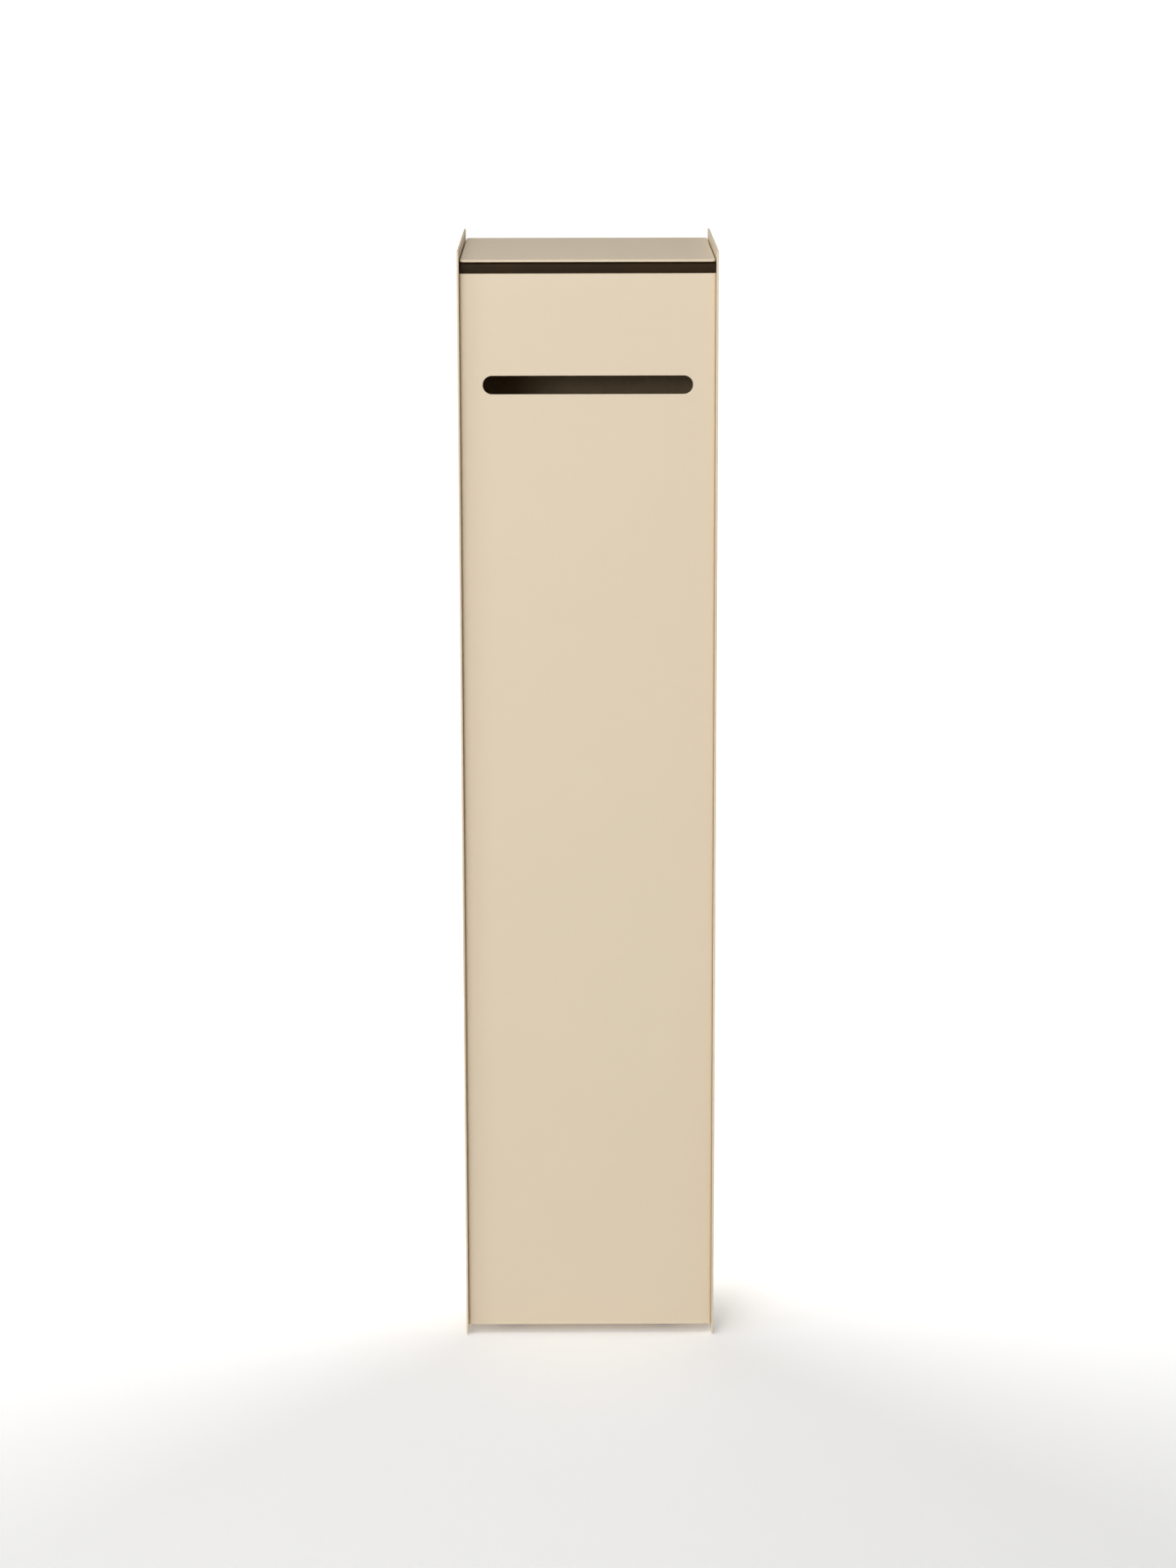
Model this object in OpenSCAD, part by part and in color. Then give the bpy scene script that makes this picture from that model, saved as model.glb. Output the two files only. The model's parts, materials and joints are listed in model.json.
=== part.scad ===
// Free-standing ashtray bin: a tall folded-sheet column between two plain side plates, with a stub
// slot in the front, a flat lid over a finger gap, and an ash container that lifts out of the top.
// Millimetres. +Z is up, the front faces -Y, and the origin is on the ground under the centre.

/* [Overall] */
// Width over the two side panels
body_w = 200; // [180:1:240]
// Depth of the side panels, front to back
body_d = 215; // [195:1:260]
// Height from the ground to the top of the side panels
body_h = 875; // [760:1:1000]
// How far the side panels stand past the front, the back and the lid
reveal = 7; // [4:0.5:12]
// Height of the front panel's lower edge over the lower edge of the side panels
bottom_reveal = 6.4; // [4:0.2:9]
// How far the rubber feet lift the side panels off the ground
foot_lift = 1; // [0.5:0.5:4]

/* [Sheet metal] */
// Thickness of the side, front and back panels
sheet_t = 1.5; // [1.2:0.1:2]
// Outside radius of the folds in the front and back panels
fold_r = 2.2; // [2.1:0.1:3]
// Depth of the side flanges of the front and back panels
flange_d = 22; // [15:1:30]
// Radius of the corners of the side panels
plate_corner_r = 3; // [1:0.5:8]
// Height of the hem's inner leg along the upper edge of the front and back panels
hem_h = 13; // [8:1:20]

/* [Stub slot] */
// Length of the slot over its round ends
slot_w = 162; // [100:1:170]
// Height of the slot
slot_h = 14.4; // [10:0.2:20]
// Distance from the top of the side panels down to the middle of the slot
slot_drop = 103; // [95:1:115]

/* [Lid and hinge] */
// Thickness of the lid plate
lid_t = 2; // [1.5:0.1:3]
// Finger gap between the front panel and the lid
finger_gap = 8.7; // [8:0.1:10]
// Gap between the lid and each side panel
lid_side_gap = 0.8; // [0.5:0.1:1.5]
// Radius of the lid's corners
lid_corner_r = 3; // [2:0.5:8]
// Length of the hinge
hinge_l = 140; // [100:5:160]
// Number of knuckles, an odd number
knuckles = 5; // [3:2:9]

/* [Ash container] */
// Thickness of the container's sheet
can_t = 1.2; // [1:0.1:1.4]
// Height of the container under its rim
can_h = 416; // [300:1:560]
// Outside radius of the container's upright corners
can_corner_r = 4; // [3:0.5:8]
// Height of the rubber edge trim on the container's rim
trim_h = 10; // [8:0.5:12]
// Wall of the rubber edge trim
trim_wall = 2; // [1.5:0.1:2.2]
// Slope of the stub chute below the horizontal
chute_slope = 40; // [30:1:55]

/* [Bail handle] */
// Wire diameter of the handle
wire_d = 5; // [4:0.5:5.5]
// Distance from the handle's pivots to its cross bar
bail_reach = 72; // [60:1:74]
// Diameter of the grip sleeve
grip_d = 13; // [10:1:15]

/* [Base] */
// Thickness of the base pan
pan_t = 2; // [1.5:0.1:3]
// Height of the base pan's flanges
pan_h = 27; // [20:1:40]
// Thickness of the steel ballast plate
ballast_t = 12; // [8:1:16]
// Diameter of a rubber foot
foot_d = 28; // [22:1:30]
// Spacing of the feet along both sides
foot_pitch = 130; // [120:1:145]
// Diameter of the ground anchor holes
anchor_d = 9; // [7:0.5:11]
// Spacing of the ground anchor holes along both sides
anchor_pitch = 90; // [60:1:100]

/* [Hidden] */
$fn = 48;
eps = 0.01;

// Heights and half sizes of the shell
inner_x = body_w / 2 - sheet_t;
panel_y = body_d / 2 - reveal;
inner_y = panel_y - sheet_t;
panel_bottom = foot_lift + bottom_reveal;
lid_top = body_h - reveal;
lid_under = lid_top - lid_t;
panel_top = lid_under - finger_gap;
slot_z = body_h - slot_drop;

// The hem along the upper edge of the front and back panels: two sheets and the fold over them
hem_slack = 0.2;
hem_r = sheet_t + hem_slack / 2;
hem_axis_z = panel_top - hem_r;
hem_half_w = inner_x - fold_r;

// The side flanges stop lower than the web, clear of the trim's ends
flange_relief = 2.4;
relief_y = -panel_y + fold_r + 0.5;

// The container stands 0.3 mm over its rails and keeps the same gap under the lid
rest_gap = 0.3;
trim_top = lid_under - rest_gap;
trim_seat = 4.5;
trim_side_gap = 0.6;
trim_end_gap = 8;
can_side_gap = 4;
can_front_gap = 2.8;
can_back_gap = 12.5;
can_top = trim_top - trim_seat;
can_bottom = can_top - can_h;
can_x = inner_x - can_side_gap;
can_front = -(panel_y - 2 * hem_r - can_front_gap);
can_back = panel_y - can_back_gap;
can_d = can_back - can_front;
can_mid = (can_back + can_front) / 2;
trim_out = can_t + 2 * trim_wall;
trim_end_y = can_back - trim_end_gap;

// Opening in the container behind the slot, larger than the slot all round
inlet_side = 5;
inlet_over = 7.5;
inlet_w = slot_w + 2 * inlet_side;
inlet_h = slot_h + 2 * inlet_over;
inlet_r = 6;

// The hinge axis lies in the rear gap, behind the container and above the back panel
leaf_t = 1.5;
knuckle_r = 3;
knuckle_play = 0.5;
pin_r = 1.5;
pin_play = 0.05;
pin_head_r = 2.3;
pin_head_t = 1;
hinge_inset = 4;
hinge_y = panel_y - hinge_inset;
hinge_z = trim_top - knuckle_r;
hinge_gap = 0.3;
knuckle_l = hinge_l / knuckles;
leaf_clear_y = hinge_y - knuckle_r - knuckle_play;
web_t = 1.2;
lid_leaf_d = 24;
leaf_drop = 24;

// Studs under the lid, and the clearance of every stud and bolt in its hole
hole_play = 0.3;
lid_stud_inset = 13;
stud_y = leaf_clear_y - lid_stud_inset;
stud_pitch = 48;
lid_stud_r = 2;
lid_stud_l = 8;
lid_nut_af = 7;
lid_nut_h = 3.2;

// Rivets with flat heads
rivet_r = 1.6;
rivet_head_r = 3.2;
rivet_head_t = 0.8;
rivet_pitch = 50;
hinge_rivet_drop = 16;
hinge_rivet_z = hinge_z - hinge_rivet_drop;

// The stub chute: a tab on the front wall and a slope behind it
chute_gap = 1;
chute_side_gap = 3;
chute_top = slot_z - inlet_h / 2 - chute_gap;
chute_tab_h = 24;
chute_l = 62;
chute_half_w = can_x - can_t - chute_side_gap;
chute_rivet_z = chute_top - chute_tab_h / 2;

// The bail handle lies folded back on its rests
wire_r = wire_d / 2;
bail_y = 8;
bail_rise = 6;
bail_z = slot_z + bail_rise;
arm_gap = 8;
arm_x = can_x - arm_gap;
arm_bend_r = 5;
bar_bend_r = 10;
bush_r = 4.5;
bush_flange_r = 7;
bush_flange_t = 1.2;
bush_l = 2;
cap_r = 5;
cap_t = 1.1;
cap_gap = 0.3;
rest_pin_r = 2.5;
rest_pin_l = 9;
rest_reach = 50;
grip_l = 104;
grip_taper = 4;
grip_end_r = grip_d / 2 - 1.5;

// The rails, their studs and the guide strips
rail_t = 2;
rail_leg = 27;
rail_shelf = 25;
rail_l = 140;
rail_top = can_bottom - rest_gap;
rail_stud_r = 2.5;
rail_stud_l = 10;
rail_stud_y = 50;
rail_stud_drop = 18;
rail_stud_z = rail_top - rail_stud_drop;
rail_nut_af = 8;
rail_nut_h = 4;
guide_t = 3.5;
guide_w = 14;
guide_l = 280;
guide_y = 34;
guide_drop = 22;
guide_bevel = 2;

// The base
foot_h = 9;
foot_chamfer = 1.5;
foot_recess_r = 7;
foot_recess_h = 4.8;
bolt_r = 3;
bolt_head_r = 5.5;
bolt_head_h = 3.6;
bolt_end = 2;
ballast_z = foot_h + pan_t;
ballast_gap = 14;
ballast_half = inner_x - ballast_gap;
ballast_corner_r = 6;
washer_r = 6;
washer_t = 1.6;
foot_nut_h = 5;
foot_nut_af = 10;

// A rectangle with round corners, centred
module rounded_rect(w, h, r) {
    square([w - 2 * r, h], center = true);
    square([w, h - 2 * r], center = true);
    for (sx = [-1, 1])
        for (sy = [-1, 1])
            translate([sx * (w / 2 - r), sy * (h / 2 - r)])
                circle(r);
}

// A channel folded from one sheet: the web lies along X on y = 0 and the legs point to +Y
module channel_profile(w, leg, t, r) {
    intersection() {
        translate([-w / 2, 0])
            square([w, leg]);
        translate([0, leg])
            difference() {
                rounded_rect(w, 2 * leg, r);
                rounded_rect(w - 2 * t, 2 * (leg - t), r - t);
            }
    }
}

// An angle folded from one sheet, with its corner at the origin and its legs along +X and +Y
module angle_profile(a, b, t, r) {
    intersection() {
        square([a, b]);
        translate([a, b])
            difference() {
                rounded_rect(2 * a, 2 * b, r);
                rounded_rect(2 * (a - t), 2 * (b - t), r - t);
            }
    }
}

// A cylinder along +X, or towards -X for a negative length
module rod_x(r, l) {
    rotate([0, 90, 0])
        translate([0, 0, min(l, 0)])
            cylinder(r = r, h = abs(l));
}

// A cylinder along +Y
module rod_y(r, l) {
    rotate([-90, 0, 0])
        cylinder(r = r, h = l);
}

// A hexagon nut standing on z = 0
module hex_nut(af, h, bore_r) {
    difference() {
        cylinder(r = af / sqrt(3), h = h, $fn = 6);
        translate([0, 0, -1])
            cylinder(r = bore_r, h = h + 2);
    }
}

// A rivet along +Y that clamps a stack from y = 0 to y = grip
module rivet_y(grip) {
    translate([0, -rivet_head_t, 0])
        rod_y(rivet_head_r, rivet_head_t);
    rod_y(rivet_r, grip);
    translate([0, grip, 0])
        rod_y(rivet_head_r, rivet_head_t);
}

// Puts a copy at each of the four corners of a square in plan
module at_square(pitch) {
    for (sx = [-1, 1])
        for (sy = [-1, 1])
            translate([sx * pitch / 2, sy * pitch / 2, 0])
                children();
}

// One side panel, on the side that the sign gives
module side_plate(side) {
    plate_h = body_h - foot_lift;
    translate([side * (inner_x + sheet_t / 2), 0, foot_lift + plate_h / 2])
        rotate([90, 0, 90])
            translate([0, 0, -sheet_t / 2])
                linear_extrude(sheet_t)
                    rounded_rect(body_d, plate_h, plate_corner_r);
}

module side_panel_left() {
    color("#dccbb0")
        side_plate(-1);
}

module side_panel_right() {
    color("#dccbb0")
        side_plate(1);
}

// A folded panel with side flanges and a hemmed upper edge, facing -Y
module folded_panel() {
    difference() {
        translate([0, -panel_y, panel_bottom])
            linear_extrude(panel_top - panel_bottom)
                channel_profile(2 * inner_x, flange_d, sheet_t, fold_r);
        translate([-hem_half_w, -panel_y - 1, hem_axis_z])
            cube([2 * hem_half_w, sheet_t + 2, hem_r + 1]);
        translate([-body_w / 2, relief_y, panel_top - flange_relief])
            cube([body_w, flange_d, flange_relief + 1]);
    }
    translate([-hem_half_w, -panel_y + hem_r, hem_axis_z])
        rotate([0, 90, 0])
            linear_extrude(2 * hem_half_w)
                hem_profile();
}

// The hem in section: a half round over the outer sheet and the inner leg, up along -X
module hem_profile() {
    difference() {
        circle(hem_r);
        translate([0, -hem_r - 1])
            square(2 * hem_r + 2);
        circle(hem_slack / 2, $fn = 16);
    }
    translate([-eps, hem_slack / 2])
        square([hem_h, sheet_t]);
    translate([-eps, -hem_r])
        square([1, sheet_t]);
}

// The stub slot as a solid of some depth: a bar with round ends, centred
module stub_slot(depth) {
    rotate([90, 0, 0])
        translate([0, 0, -depth / 2])
            linear_extrude(depth)
                union() {
                    square([slot_w - slot_h, slot_h], center = true);
                    for (sx = [-1, 1])
                        translate([sx * (slot_w - slot_h) / 2, 0])
                            circle(slot_h / 2);
                }
}

module front_panel() {
    color("#decdb1")
        difference() {
            folded_panel();
            translate([0, -panel_y, slot_z])
                stub_slot(4 * sheet_t);
        }
}

module back_panel() {
    color("#dccbb0")
        rotate([0, 0, 180])
            folded_panel();
}

// The base pan: two crossed channels make a floor with four upright flanges
module base_pan() {
    pan_fold_r = pan_t + 1;
    pan_x = inner_x - sheet_t;
    color("#d6c5aa")
        difference() {
            translate([0, 0, foot_h])
                union() {
                    rotate([90, 0, 0])
                        translate([0, 0, -(inner_y - pan_fold_r)])
                            linear_extrude(2 * (inner_y - pan_fold_r))
                                channel_profile(2 * pan_x, pan_h, pan_t, pan_fold_r);
                    rotate([90, 0, 90])
                        translate([0, 0, -(pan_x - pan_fold_r)])
                            linear_extrude(2 * (pan_x - pan_fold_r))
                                channel_profile(2 * inner_y, pan_h, pan_t, pan_fold_r);
                }
            at_square(foot_pitch)
                translate([0, 0, foot_h - 1])
                    cylinder(r = bolt_r + hole_play, h = pan_t + 2);
            at_square(anchor_pitch)
                translate([0, 0, foot_h - 1])
                    cylinder(r = anchor_d / 2, h = pan_t + 2);
        }
}

module ballast_plate() {
    color("#5c5d5f")
        translate([0, 0, ballast_z])
            difference() {
                linear_extrude(ballast_t)
                    rounded_rect(2 * ballast_half, 2 * ballast_half, ballast_corner_r);
                at_square(foot_pitch)
                    translate([0, 0, -1])
                        cylinder(r = bolt_r + hole_play, h = ballast_t + 2);
                at_square(anchor_pitch)
                    translate([0, 0, -1])
                        cylinder(r = anchor_d / 2, h = ballast_t + 2);
            }
}

// One rubber foot: a chamfered puck with a recess for the bolt's head
module rubber_foot() {
    difference() {
        union() {
            cylinder(r1 = foot_d / 2 - foot_chamfer, r2 = foot_d / 2, h = foot_chamfer);
            translate([0, 0, foot_chamfer])
                cylinder(r = foot_d / 2, h = foot_h - foot_chamfer);
        }
        translate([0, 0, -1])
            cylinder(r = foot_recess_r, h = foot_recess_h + 1);
        translate([0, 0, foot_recess_h - 1])
            cylinder(r = bolt_r, h = foot_h);
    }
}

module rubber_feet() {
    color("#232323")
        at_square(foot_pitch)
            rubber_foot();
}

// The bolt passes up through foot, pan and ballast
module foot_bolts() {
    head_z = foot_recess_h - bolt_head_h;
    shank_top = ballast_z + ballast_t + washer_t + foot_nut_h + bolt_end;
    color("#b9bbbd")
        at_square(foot_pitch)
            union() {
                translate([0, 0, head_z])
                    cylinder(r = bolt_head_r, h = bolt_head_h);
                translate([0, 0, foot_recess_h - 1])
                    cylinder(r = bolt_r, h = shank_top - foot_recess_h + 1);
            }
}

module foot_washers() {
    color("#c2c4c6")
        at_square(foot_pitch)
            translate([0, 0, ballast_z + ballast_t])
                difference() {
                    cylinder(r = washer_r, h = washer_t);
                    translate([0, 0, -1])
                        cylinder(r = bolt_r + hole_play, h = washer_t + 2);
                }
}

module foot_nuts() {
    color("#b9bbbd")
        at_square(foot_pitch)
            translate([0, 0, ballast_z + ballast_t + washer_t])
                hex_nut(foot_nut_af, foot_nut_h, bolt_r);
}

// An angle rail on a side panel: its shelf carries the container
module container_rail(side) {
    difference() {
        translate([side * inner_x, -rail_l / 2, rail_top])
            mirror([side > 0 ? 1 : 0, 0, 0])
                rotate([-90, 0, 0])
                    linear_extrude(rail_l)
                        angle_profile(rail_shelf, rail_leg, rail_t, rail_t + 1);
        for (sy = [-1, 1])
            translate([side * (inner_x + 1), sy * rail_stud_y, rail_stud_z])
                rod_x(rail_stud_r + hole_play, -side * (rail_t + 2));
    }
}

module container_rail_left() {
    color("#d6c5aa")
        container_rail(-1);
}

module container_rail_right() {
    color("#d6c5aa")
        container_rail(1);
}

// Studs welded to the inner faces of the side panels; they carry the rails
module rail_studs() {
    color("#b9bbbd")
        for (sx = [-1, 1])
            for (sy = [-1, 1])
                translate([sx * inner_x, sy * rail_stud_y, rail_stud_z])
                    rod_x(rail_stud_r, -sx * rail_stud_l);
}

module rail_nuts() {
    color("#b9bbbd")
        for (sx = [-1, 1])
            for (sy = [-1, 1])
                translate([sx * (inner_x - rail_t), sy * rail_stud_y, rail_stud_z])
                    rotate([0, -90 * sx, 0])
                        hex_nut(rail_nut_af, rail_nut_h, rail_stud_r);
}

// One strip: a bar with bevelled ends, standing off the left panel by its thickness
module guide_strip() {
    rotate([90, 0, 0])
        translate([0, 0, -guide_w / 2])
            linear_extrude(guide_w)
                polygon([
                    [0, 0],
                    [guide_t, guide_bevel],
                    [guide_t, guide_l - guide_bevel],
                    [0, guide_l]
                ]);
}

// Plastic strips on the side panels centre the container as it slides
module guide_strips() {
    color("#2b2a28")
        for (turn = [0, 1])
            for (sy = [-1, 1])
                mirror([turn, 0, 0])
                    translate([-inner_x, sy * guide_y, can_top - guide_drop - guide_l])
                        guide_strip();
}

// The container: a welded box with an open top and an opening behind the slot
module ash_container() {
    inner_r = can_corner_r - can_t;
    color("#d8c7ab")
        difference() {
            translate([0, can_mid, can_bottom])
                linear_extrude(can_h)
                    rounded_rect(2 * can_x, can_d, can_corner_r);
            translate([0, can_mid, can_bottom + can_t])
                linear_extrude(can_h)
                    rounded_rect(2 * (can_x - can_t), can_d - 2 * can_t, inner_r);
            translate([0, can_front, slot_z])
                rotate([90, 0, 0])
                    translate([0, 0, -3])
                        linear_extrude(6)
                            rounded_rect(inlet_w, inlet_h, inlet_r);
            translate([0, bail_y, bail_z])
                translate([-can_x - 1, 0, 0])
                    rod_x(bush_r, 2 * can_x + 2);
            for (i = [-1, 0, 1])
                translate([i * rivet_pitch, can_back - 3, hinge_rivet_z])
                    rod_y(rivet_r, 6);
            for (i = [-1, 0, 1])
                translate([i * rivet_pitch, can_front - 3, chute_rivet_z])
                    rod_y(rivet_r, 6);
        }
}

// The trim in section, round at the top and at the bottom, with its top at 0
module trim_profile() {
    top_flat = 0.2;
    translate([0, -trim_h / 2])
        rounded_rect(trim_out, trim_h, (trim_out - top_flat) / 2);
}

// The upper rim of the container's wall, which stands in the trim's groove
module rim_wall() {
    translate([0, can_mid, can_top - trim_h])
        linear_extrude(trim_h)
            difference() {
                rounded_rect(2 * can_x, can_d, can_corner_r);
                rounded_rect(2 * (can_x - can_t), can_d - 2 * can_t, can_corner_r - can_t);
            }
}

// Rubber edge trim along the rim: one run across the whole front, and one butted to it along each side
module rim_trim() {
    run_x = can_x - can_t / 2;
    run_y = can_front + can_t / 2;
    front_half_l = inner_x - trim_side_gap;
    color("#221d18")
        difference() {
            translate([0, 0, trim_top])
                union() {
                    translate([-front_half_l, run_y, 0])
                        rotate([90, 0, 90])
                            linear_extrude(2 * front_half_l)
                                trim_profile();
                    for (sx = [-1, 1])
                        translate([sx * run_x, trim_end_y, 0])
                            rotate([90, 0, 0])
                                linear_extrude(trim_end_y - run_y)
                                    trim_profile();
                }
            rim_wall();
        }
}

// A folded sheet: a riveted tab on the front wall, then a slope that leads stubs down and back
module stub_chute() {
    wall_y = can_front + can_t;
    run = chute_l * cos(chute_slope);
    drop = chute_l * sin(chute_slope);
    lift = can_t / cos(chute_slope);
    color("#d8c7ab")
        difference() {
            translate([-chute_half_w, wall_y, chute_top])
                rotate([90, 0, 90])
                    linear_extrude(2 * chute_half_w)
                        polygon([
                            [0, 0],
                            [run, -drop],
                            [run, -drop - lift],
                            [can_t, -can_t * tan(chute_slope) - lift],
                            [can_t, -chute_tab_h],
                            [0, -chute_tab_h]
                        ]);
            for (i = [-1, 0, 1])
                translate([i * rivet_pitch, wall_y - 1, chute_rivet_z])
                    rod_y(rivet_r, can_t + 2);
        }
}

module chute_rivets() {
    color("#b9bbbd")
        for (i = [-1, 0, 1])
            translate([i * rivet_pitch, can_front, chute_rivet_z])
                rivet_y(2 * can_t);
}

// Knuckles along the hinge axis: those with an even or an odd number
module knuckle_row(first, bore_r) {
    for (i = [first : 2 : knuckles - 1])
        translate([-hinge_l / 2 + i * knuckle_l + hinge_gap / 2, hinge_y, hinge_z])
            difference() {
                rod_x(knuckle_r, knuckle_l - hinge_gap);
                translate([-1, 0, 0])
                    rod_x(bore_r, knuckle_l + 2);
            }
}

// The strips that join a leaf to its own knuckles, between two heights, clear of the pin
module knuckle_webs(first, z_low, z_high) {
    for (i = [first : 2 : knuckles - 1])
        translate([-hinge_l / 2 + i * knuckle_l + hinge_gap / 2, leaf_clear_y - 1, z_low])
            cube([knuckle_l - hinge_gap, hinge_y - leaf_clear_y + 1, z_high - z_low]);
}

// Angle leaf: its upright leg is riveted to the container and its shelf carries three knuckles
module hinge_container_leaf() {
    shelf_low = hinge_z - knuckle_r;
    color("#b9bbbd")
        difference() {
            union() {
                translate([-hinge_l / 2, can_back, shelf_low + leaf_t - leaf_drop])
                    cube([hinge_l, leaf_t, leaf_drop]);
                translate([-hinge_l / 2, can_back, shelf_low])
                    cube([hinge_l, leaf_clear_y - can_back, leaf_t]);
                knuckle_webs(0, shelf_low, shelf_low + web_t);
                knuckle_row(0, pin_r);
            }
            for (i = [-1, 0, 1])
                translate([i * rivet_pitch, can_back - 1, hinge_rivet_z])
                    rod_y(rivet_r, leaf_t + 2);
        }
}

module hinge_pin() {
    color("#c9cacb")
        translate([-hinge_l / 2, hinge_y, hinge_z])
            union() {
                rod_x(pin_r, hinge_l);
                for (x = [-pin_head_t, hinge_l])
                    translate([x, 0, 0])
                        rod_x(pin_head_r, pin_head_t);
            }
}

module hinge_rivets() {
    color("#b9bbbd")
        for (i = [-1, 0, 1])
            translate([i * rivet_pitch, can_back - can_t, hinge_rivet_z])
                rivet_y(can_t + leaf_t);
}

// Flanged plastic bushes in the container's walls, for the handle's pivots
module pivot_bushes() {
    wall_x = can_x - can_t;
    color("#2b2a28")
        for (sx = [-1, 1])
            translate([sx * (wall_x - bush_flange_t), bail_y, bail_z])
                difference() {
                    union() {
                        rod_x(bush_flange_r, sx * bush_flange_t);
                        rod_x(bush_r, sx * (bush_flange_t + bush_l));
                    }
                    translate([-sx, 0, 0])
                        rod_x(wire_r + pin_play, sx * (bush_flange_t + bush_l + 2));
                }
}

// Welded pins that the handle's arms lie on, folded back or folded forward
module bail_rests() {
    color("#b9bbbd")
        for (sx = [-1, 1])
            for (y = [bail_y - rest_reach, bail_y + rest_reach])
                translate([sx * (can_x - can_t), y, bail_z - wire_r - rest_gap - rest_pin_r])
                    rod_x(rest_pin_r, -sx * rest_pin_l);
}

// A quarter bend of the handle's wire in the plane z = 0, turned by an angle
module wire_bend(r, a) {
    rotate([0, 0, a])
        rotate_extrude(angle = 90)
            translate([r, 0])
                circle(wire_r);
}

// Half of the handle, on the side that the sign gives, up to the middle of the cross bar
module bail_half(side) {
    pivot_end = can_x - can_t + bush_l + cap_gap + cap_t;
    stub_start = arm_x + arm_bend_r;
    mirror([side < 0 ? 1 : 0, 0, 0]) {
        translate([stub_start, 0, 0])
            rod_x(wire_r, pivot_end - stub_start);
        translate([stub_start, arm_bend_r, 0])
            wire_bend(arm_bend_r, 180);
        translate([arm_x, arm_bend_r, 0])
            rod_y(wire_r, bail_reach - arm_bend_r - bar_bend_r);
        translate([arm_x - bar_bend_r, bail_reach - bar_bend_r, 0])
            wire_bend(bar_bend_r, 0);
        translate([-eps, bail_reach, 0])
            rod_x(wire_r, arm_x - bar_bend_r + eps);
    }
}

module bail_handle() {
    color("#c4c5c6")
        translate([0, bail_y, bail_z])
            union() {
                bail_half(-1);
                bail_half(1);
            }
}

// The grip: a plastic sleeve on the cross bar with tapered ends
module bail_grip() {
    color("#2b2a28")
        translate([-grip_l / 2, bail_y + bail_reach, bail_z])
            rotate([0, 90, 0])
                difference() {
                    union() {
                        cylinder(r1 = grip_end_r, r2 = grip_d / 2, h = grip_taper);
                        translate([0, 0, grip_taper])
                            cylinder(r = grip_d / 2, h = grip_l - 2 * grip_taper);
                        translate([0, 0, grip_l - grip_taper])
                            cylinder(r1 = grip_d / 2, r2 = grip_end_r, h = grip_taper);
                    }
                    translate([0, 0, -1])
                        cylinder(r = wire_r, h = grip_l + 2);
                }
}

// Push-on caps hold the handle's pivots in their bushes
module pivot_caps() {
    color("#b9bbbd")
        for (sx = [-1, 1])
            translate([sx * (can_x - can_t + bush_l + cap_gap), bail_y, bail_z])
                difference() {
                    rod_x(cap_r, sx * cap_t);
                    translate([-sx, 0, 0])
                        rod_x(wire_r, sx * (cap_t + 2));
                }
}

// The lid: a flat plate with round corners
module lid() {
    lid_half_w = inner_x - lid_side_gap;
    color("#d3c2a6")
        translate([0, 0, lid_under])
            linear_extrude(lid_t)
                rounded_rect(2 * lid_half_w, 2 * panel_y, lid_corner_r);
}

// Studs welded under the rear edge of the lid
module lid_studs() {
    color("#b9bbbd")
        for (i = [-1, 0, 1])
            translate([i * stud_pitch, stud_y, lid_under - lid_stud_l])
                cylinder(r = lid_stud_r, h = lid_stud_l);
}

// Flat leaf under the lid, with the two knuckles between those of the container's leaf
module hinge_lid_leaf() {
    leaf_low = lid_under - leaf_t;
    color("#b9bbbd")
        difference() {
            union() {
                translate([-hinge_l / 2, leaf_clear_y - lid_leaf_d, leaf_low])
                    cube([hinge_l, lid_leaf_d, leaf_t]);
                knuckle_webs(1, leaf_low, lid_under);
                knuckle_row(1, pin_r + pin_play);
            }
            for (i = [-1, 0, 1])
                translate([i * stud_pitch, stud_y, leaf_low - 1])
                    cylinder(r = lid_stud_r + hole_play, h = leaf_t + 2);
        }
}

module lid_nuts() {
    color("#b9bbbd")
        for (i = [-1, 0, 1])
            translate([i * stud_pitch, stud_y, lid_under - leaf_t - lid_nut_h])
                hex_nut(lid_nut_af, lid_nut_h, lid_stud_r);
}

side_panel_left();
side_panel_right();
front_panel();
back_panel();
base_pan();
ballast_plate();
rubber_feet();
foot_bolts();
foot_washers();
foot_nuts();
container_rail_left();
container_rail_right();
rail_studs();
rail_nuts();
guide_strips();
ash_container();
rim_trim();
stub_chute();
chute_rivets();
hinge_container_leaf();
hinge_pin();
hinge_rivets();
pivot_bushes();
bail_rests();
bail_handle();
bail_grip();
pivot_caps();
lid();
hinge_lid_leaf();
lid_studs();
lid_nuts();
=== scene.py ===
"""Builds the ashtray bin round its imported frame: folded and coated sheet, rubber trim, grip and stage."""

import json
import math

import bmesh
import bpy
import numpy as np
from mathutils import Matrix, Vector


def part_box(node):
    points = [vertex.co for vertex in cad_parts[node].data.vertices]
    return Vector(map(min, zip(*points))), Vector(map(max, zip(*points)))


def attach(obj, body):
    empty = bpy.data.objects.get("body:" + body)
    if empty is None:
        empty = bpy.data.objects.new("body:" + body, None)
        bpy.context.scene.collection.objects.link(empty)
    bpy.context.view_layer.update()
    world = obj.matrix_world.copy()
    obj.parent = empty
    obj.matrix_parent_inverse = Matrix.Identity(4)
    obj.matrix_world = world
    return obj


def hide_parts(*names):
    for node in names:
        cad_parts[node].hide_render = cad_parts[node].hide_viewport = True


bl_info = {
    "name": "Ashtray Bin Workshop",
    "version": (1, 0, 0),
    "blender": (4, 5, 0),
    "location": "3D View > Sidebar > Ashtray Bin",
    "description": "Builds the coated sheet, trim, fittings and stage of a slim ashtray bin",
    "category": "Object",
}

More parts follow.
